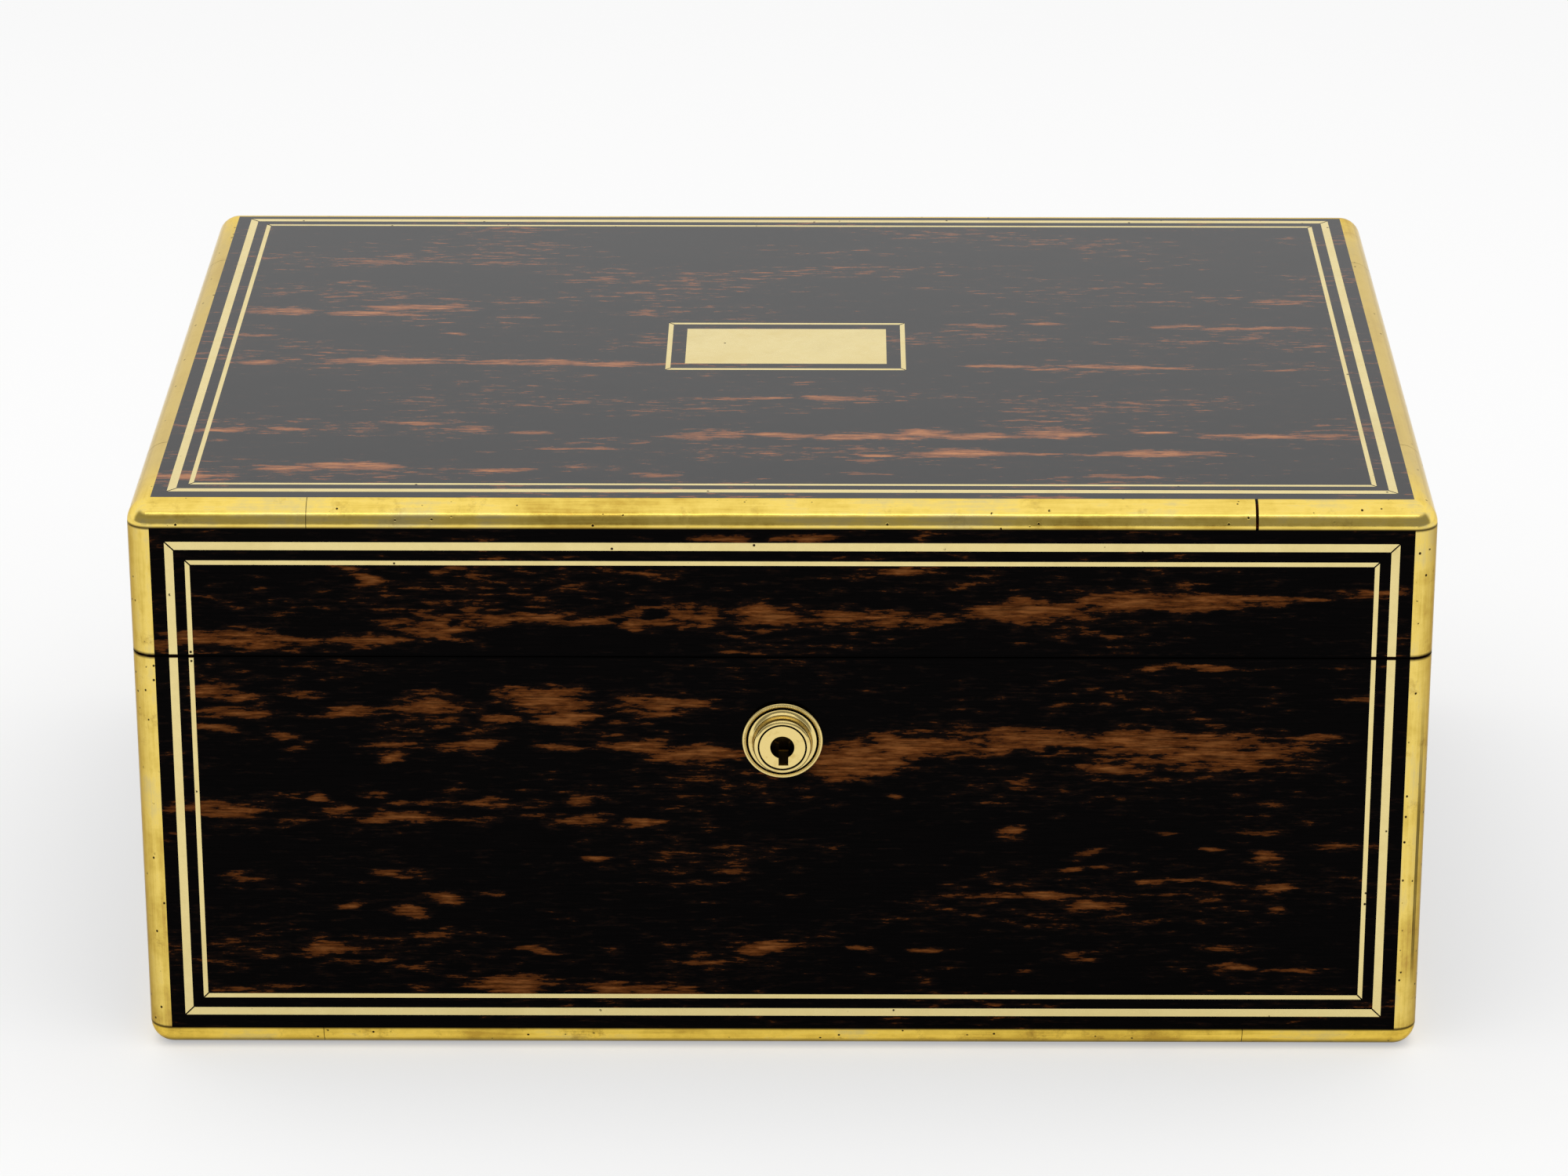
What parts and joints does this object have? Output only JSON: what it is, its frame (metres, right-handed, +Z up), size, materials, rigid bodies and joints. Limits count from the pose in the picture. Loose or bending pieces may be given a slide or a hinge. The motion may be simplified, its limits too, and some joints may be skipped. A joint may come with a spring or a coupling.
{
  "type": "jewellery box",
  "caption": "Hinged wooden jewellery box with brass edging, line inlay, lock and a lift-out tray.",
  "frame": {"origin": "centre of the underside, on the surface that the box stands on", "axes": "+X to the right along the front, +Y from the front to the back, +Z up; the keyhole faces -Y"},
  "size_m": [0.305, 0.2285, 0.14],
  "materials": {
    "carcass_wood": "planed mahogany",
    "coromandel_veneer": "gloss",
    "edging_brass": "aged polish",
    "line_brass": "satin",
    "surround_brass": "polished",
    "lock_brass": "satin",
    "spring_steel": "drawn",
    "tray_wood": "satin",
    "lining_velvet": "velvet pile",
    "lid_satin": "satin weave",
    "frame_leather": "tooled",
    "base_leather": "matt"
  },
  "bodies": {
    "case": {"case_front_board": "carcass_wood", "case_right_board": "carcass_wood", "case_back_board": "carcass_wood", "case_left_board": "carcass_wood", "case_bottom_board": "carcass_wood", "underside_leather": "base_leather", "case_front_veneer": "coromandel_veneer", "case_back_veneer": "coromandel_veneer", "case_left_veneer": "coromandel_veneer", "case_right_veneer": "coromandel_veneer", "case_front_wide_line": "line_brass", "case_front_fine_line": "line_brass", "case_corner_posts": "edging_brass", "case_bottom_corners": "edging_brass", "case_bottom_strips": "edging_brass", "case_wall_lining": "lining_velvet", "case_floor_pad": "lining_velvet", "tray_bearers": "lining_velvet", "keyhole_escutcheon": "surround_brass", "keyhole_nozzle": "surround_brass", "lock_box": "lock_brass", "lock_cover": "lock_brass", "lock_selvedge": "lock_brass", "lock_lever_spring": "spring_steel", "hinge_case_leaves": "lock_brass", "case_screws": "lock_brass", "hinge_pins": "spring_steel"},
    "lid": {"lid_top_board": "carcass_wood", "lid_front_rail": "carcass_wood", "lid_right_rail": "carcass_wood", "lid_back_rail": "carcass_wood", "lid_left_rail": "carcass_wood", "lid_top_veneer": "coromandel_veneer", "lid_front_veneer": "coromandel_veneer", "lid_back_veneer": "coromandel_veneer", "lid_left_veneer": "coromandel_veneer", "lid_right_veneer": "coromandel_veneer", "lid_top_wide_line": "line_brass", "lid_top_fine_line": "line_brass", "lid_front_wide_line": "line_brass", "lid_front_fine_line": "line_brass", "name_plate": "line_brass", "name_plate_border": "line_brass", "lid_corner_posts": "edging_brass", "lid_top_corners": "edging_brass", "lid_top_strips": "edging_brass", "lid_lining_frame": "frame_leather", "lid_wall_lining": "lining_velvet", "lid_pad": "lid_satin", "lock_link_plate": "lock_brass", "hinge_lid_leaves": "lock_brass", "lid_screws": "lock_brass"},
    "tray": {"tray_floor": "tray_wood", "tray_walls": "tray_wood", "tray_dividers": "tray_wood", "tray_ring_rolls": "lining_velvet", "tray_pads": "lining_velvet", "tray_knobs": "lock_brass"},
    "bolt": {"lock_bolt": "lock_brass"},
    "lever": {"lock_lever": "lock_brass"}
  },
  "joints": [
    {"name": "lid_hinge", "type": "hinge", "parent": "case", "child": "lid", "pos_m": [0, 0.111, 0.1023], "axis": [-1, 0, 0], "range_deg": [0, 95]},
    {"name": "tray_lift", "type": "slide", "parent": "case", "child": "tray", "axis": [0, 0, 1], "range_m": [0, 0.018]},
    {"name": "bolt_throw", "type": "slide", "parent": "case", "child": "bolt", "axis": [1, 0, 0], "range_m": [0, 0.004]},
    {"name": "lever_lift", "type": "hinge", "parent": "case", "child": "lever", "pos_m": [-0.017, -0.10235, 0.08755], "axis": [0, -1, 0], "range_deg": [0, 4], "stiffness_Nm_per_rad": 0.02, "springref_deg": -5.73, "deforming": ["lock_lever_spring"]}
  ]
}
